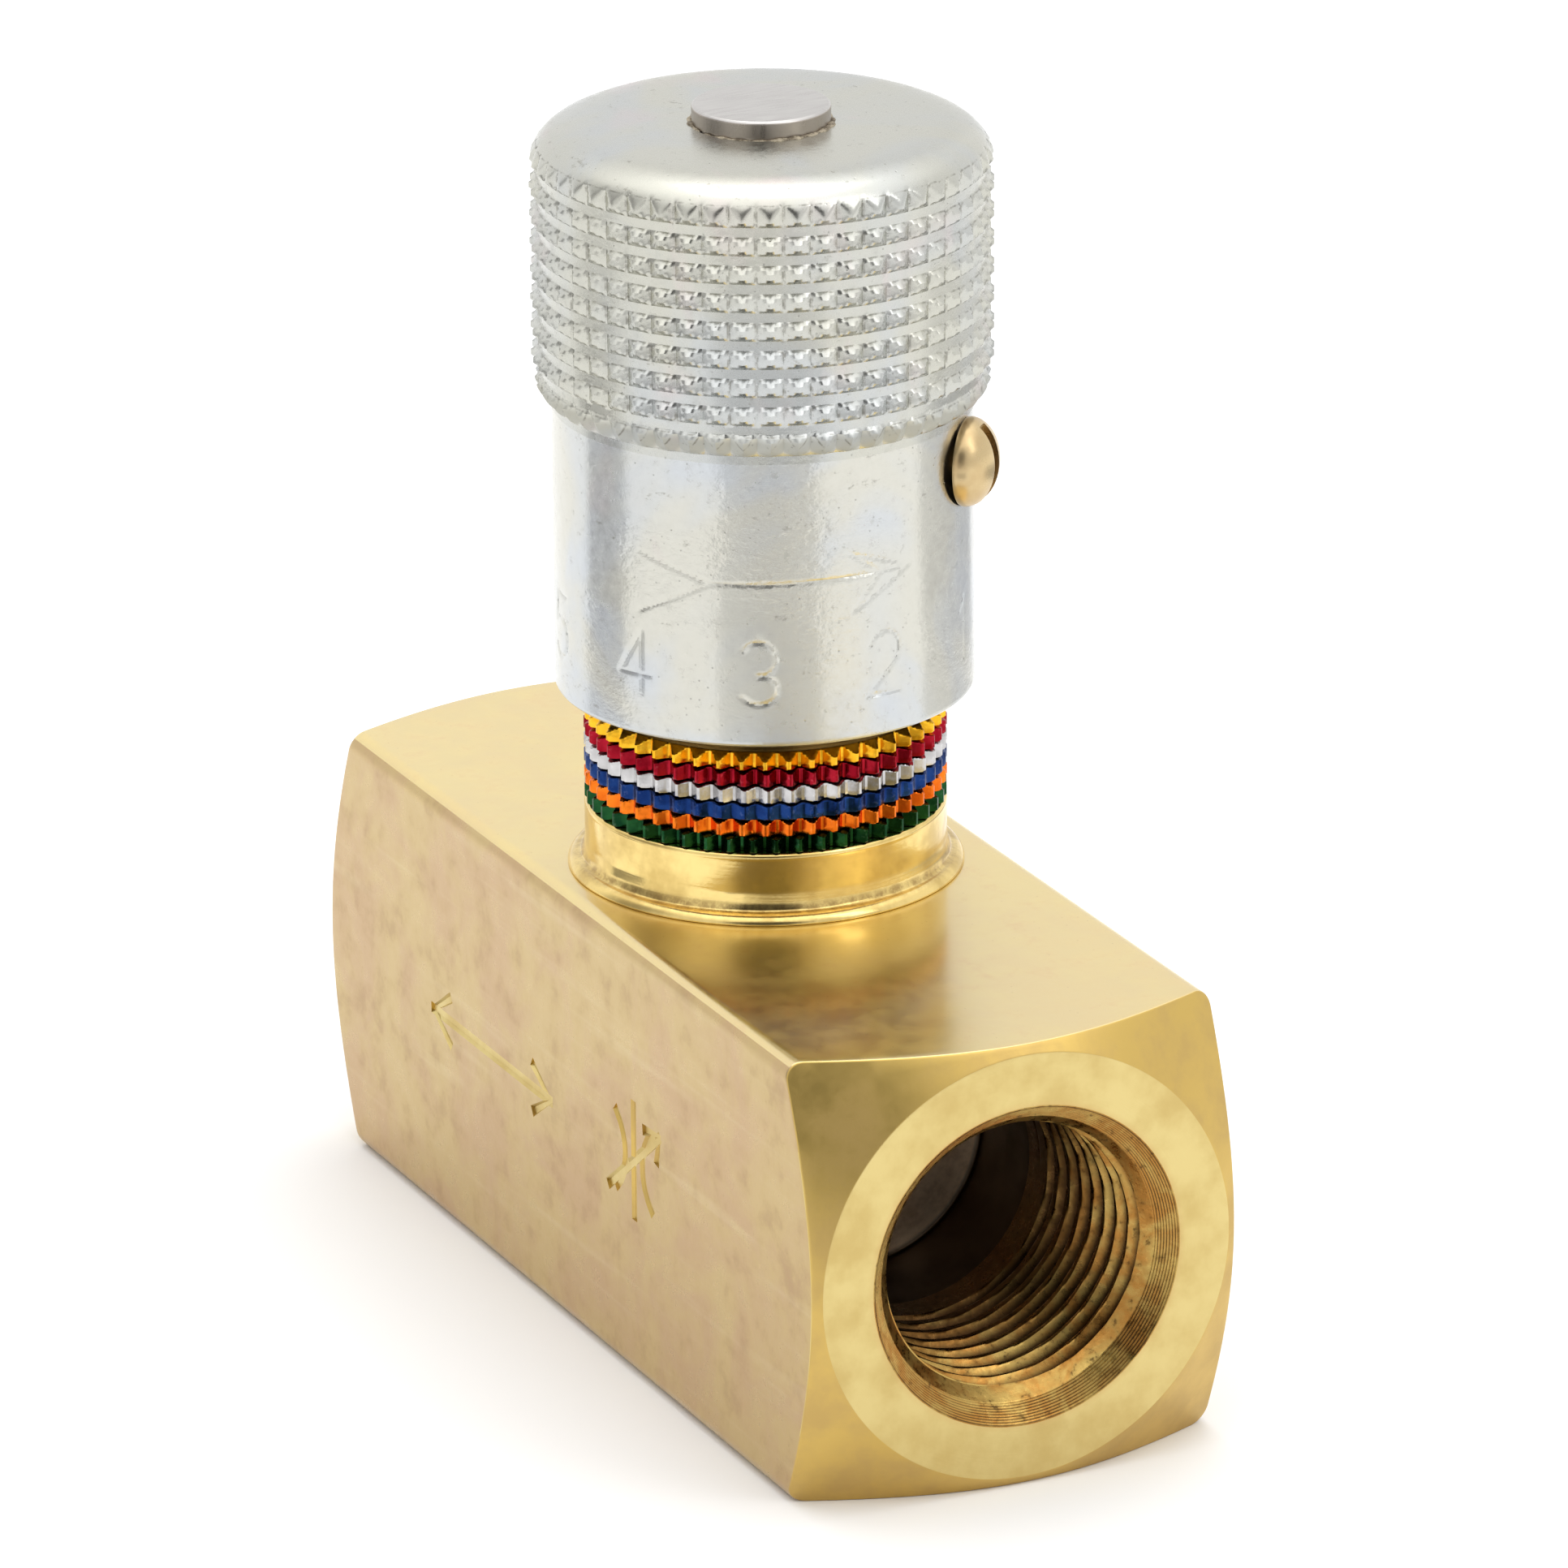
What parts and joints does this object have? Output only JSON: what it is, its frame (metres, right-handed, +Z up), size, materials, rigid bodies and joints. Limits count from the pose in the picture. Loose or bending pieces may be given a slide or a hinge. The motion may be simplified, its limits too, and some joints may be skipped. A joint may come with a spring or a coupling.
{
  "type": "inline needle valve",
  "caption": "Inline brass needle valve: square body with female pipe ports, and a knurled micrometer knob over stacked colour bands.",
  "frame": {"origin": "centre of the flat bottom face of the body, under the stem's axis", "axes": "+Z up along the stem; +X out of one port, along the body's length; the knob is at its fully open height"},
  "size_m": [0.0648, 0.0254, 0.0691],
  "materials": {
    "brass_body": "satin",
    "brass_bonnet": "polished",
    "seal_rubber": "matte",
    "anodised_green": "gloss anodised",
    "anodised_orange": "gloss anodised",
    "anodised_blue": "gloss anodised",
    "anodised_silver": "gloss anodised",
    "anodised_red": "gloss anodised",
    "anodised_gold": "gloss anodised",
    "stainless_stem": "turned",
    "seal_plastic": "smooth",
    "zinc_knob": "bright zinc plate",
    "brass_screw": "polished"
  },
  "bodies": {
    "housing": {"valve_body": "brass_body", "bonnet": "brass_bonnet", "bonnet_seal": "seal_rubber", "band_green": "anodised_green", "band_orange": "anodised_orange", "band_blue": "anodised_blue", "band_silver": "anodised_silver", "band_red": "anodised_red", "band_gold": "anodised_gold"},
    "seal_set": {"stem_o_ring": "seal_rubber", "backup_ring_lower": "seal_plastic", "backup_ring_upper": "seal_plastic"},
    "knob_and_stem": {"stem": "stainless_stem", "knob": "zinc_knob"},
    "locking_screw": {"lock_screw": "brass_screw"}
  },
  "joints": [
    {"name": "stem_lift", "type": "slide", "parent": "housing", "child": "seal_set", "axis": [0, 0, 1], "range_m": [-0.00635, 0]},
    {"name": "knob_turn", "type": "hinge", "parent": "seal_set", "child": "knob_and_stem", "pos_m": [0, 0, 0.05], "axis": [0, 0, 1], "range_deg": [-2160, 0]},
    {"name": "lock_screw_turn", "type": "hinge", "parent": "knob_and_stem", "child": "locking_screw", "pos_m": [0, 0, 0.04975], "axis": [0.6947, 0.7193, 0], "range_deg": [-55, 360]}
  ],
  "couplings": [
    {"joint": "stem_lift", "follows": "knob_turn", "m_per_rad": 0.00016843}
  ]
}
